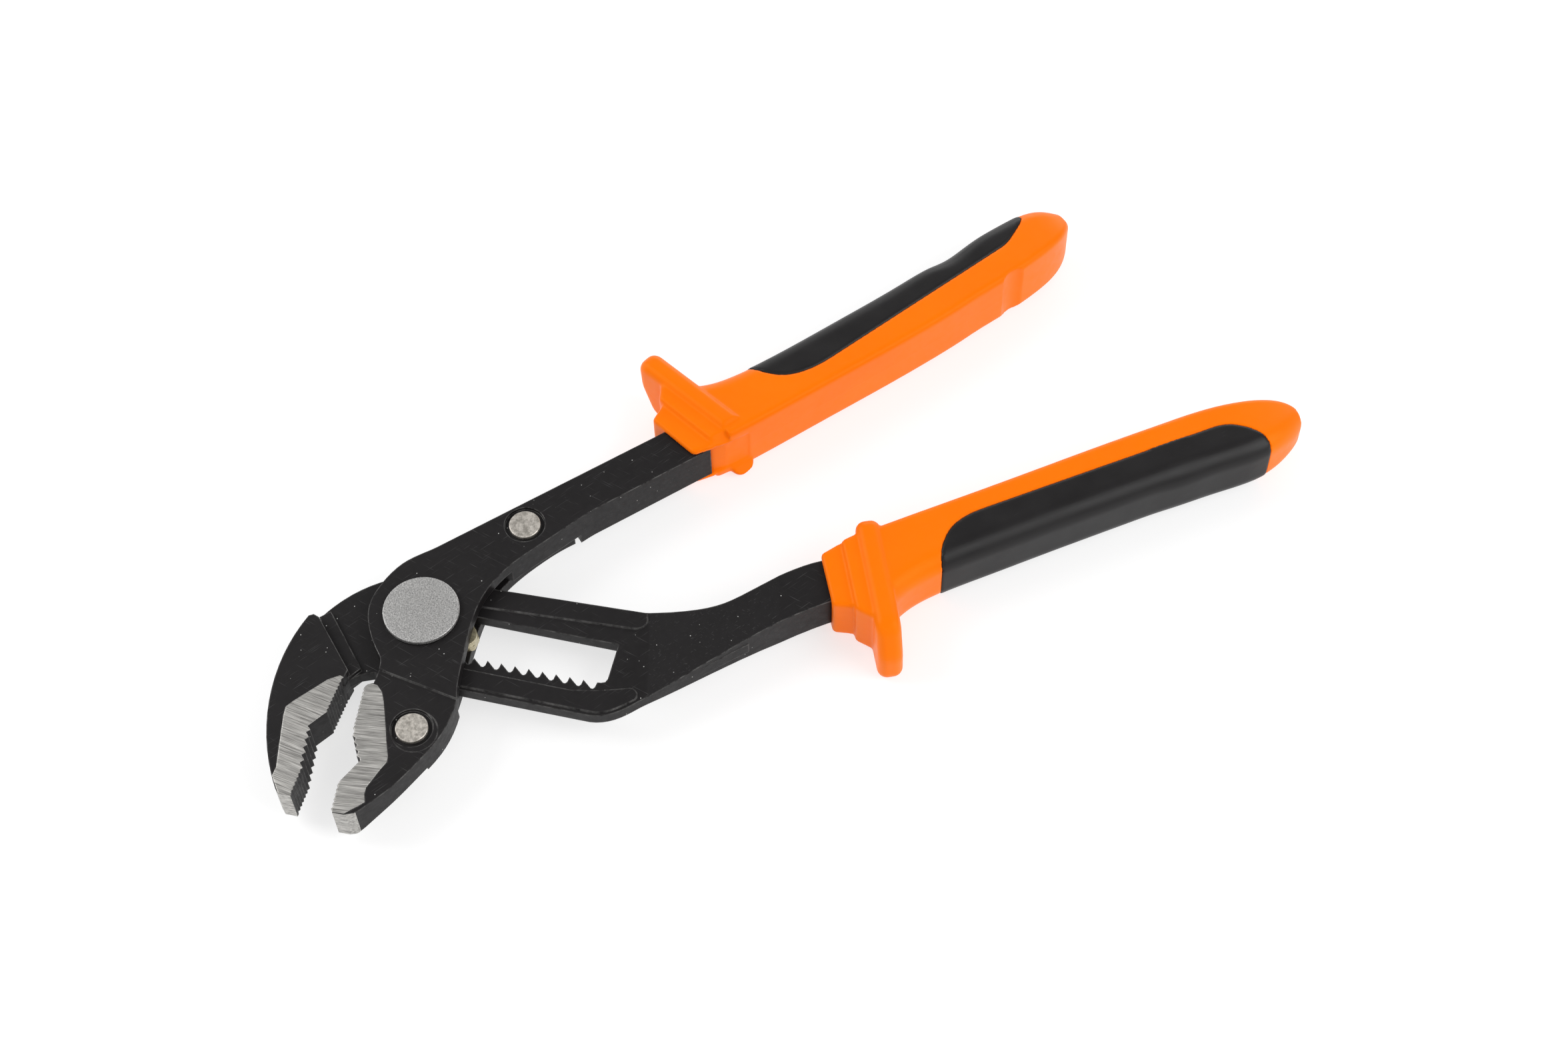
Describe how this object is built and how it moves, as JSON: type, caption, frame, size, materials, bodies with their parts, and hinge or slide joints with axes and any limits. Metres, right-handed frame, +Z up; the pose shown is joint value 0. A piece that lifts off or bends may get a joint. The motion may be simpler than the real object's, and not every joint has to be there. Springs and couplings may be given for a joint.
{
  "type": "tongue and groove pliers",
  "caption": "Adjustable slip-joint pliers: sawtooth slot rack, riveted box joint, curved gripping jaws, and two-tone handles with finger guards.",
  "frame": {"origin": "on the pivot axis, at the outer face of the rear pivot head", "axes": "+X along the rack slot towards the handles, +Z up along the pivot axis, towards the front pivot head"},
  "size_m": [0.2108, 0.1968, 0.0172],
  "materials": {
    "slotted_lever_steel": "satin black finish with ground bright jaw faces",
    "main_lever_steel": "satin black finish with ground bright jaw faces",
    "rear_cheek_steel": "satin black finish",
    "rivet_nickel": "nickel plated, lightly marked",
    "pivot_head_steel": "fine blasted bright steel",
    "washer_steel": "plain spring steel",
    "zinc_plate": "yellowish zinc plate",
    "pin_steel": "ground steel pin",
    "spring_steel": "drawn spring wire",
    "grip_orange": "hard orange plastic, fine satin grain",
    "grip_black": "soft black rubber, fine matt grain"
  },
  "bodies": {
    "slotted_lever": {"slotted_lever": "slotted_lever_steel", "lower_grip_shell": "grip_orange", "lower_grip_inlay": "grip_black"},
    "carriage": {"pivot_bolt": "pivot_head_steel", "pivot_rear_head": "pivot_head_steel", "front_washer": "washer_steel", "rear_washer": "washer_steel", "slide_block": "zinc_plate", "pawl_pin": "pin_steel", "pawl_spring": "spring_steel"},
    "pawl": {"pawl": "zinc_plate"},
    "main_lever": {"main_lever": "main_lever_steel", "rear_cheek": "rear_cheek_steel", "arm_rivet": "rivet_nickel", "jaw_rivet": "rivet_nickel", "upper_grip_shell": "grip_orange", "upper_grip_inlay": "grip_black"}
  },
  "joints": [
    {"name": "size_adjust", "type": "slide", "parent": "slotted_lever", "child": "carriage", "axis": [1, 0, 0], "range_m": [0, 0.02512]},
    {"name": "main_pivot", "type": "hinge", "parent": "carriage", "child": "main_lever", "pos_m": [0, 0, 0.0061], "axis": [0, 0, 1], "range_deg": [-10, 11]},
    {"name": "pawl_pivot", "type": "hinge", "parent": "carriage", "child": "pawl", "pos_m": [0.0101, -0.00175, 0.0061], "axis": [0, 0, 1], "range_deg": [0, 14], "stiffness_Nm_per_rad": 0.02, "deforming": ["pawl_spring"]}
  ]
}
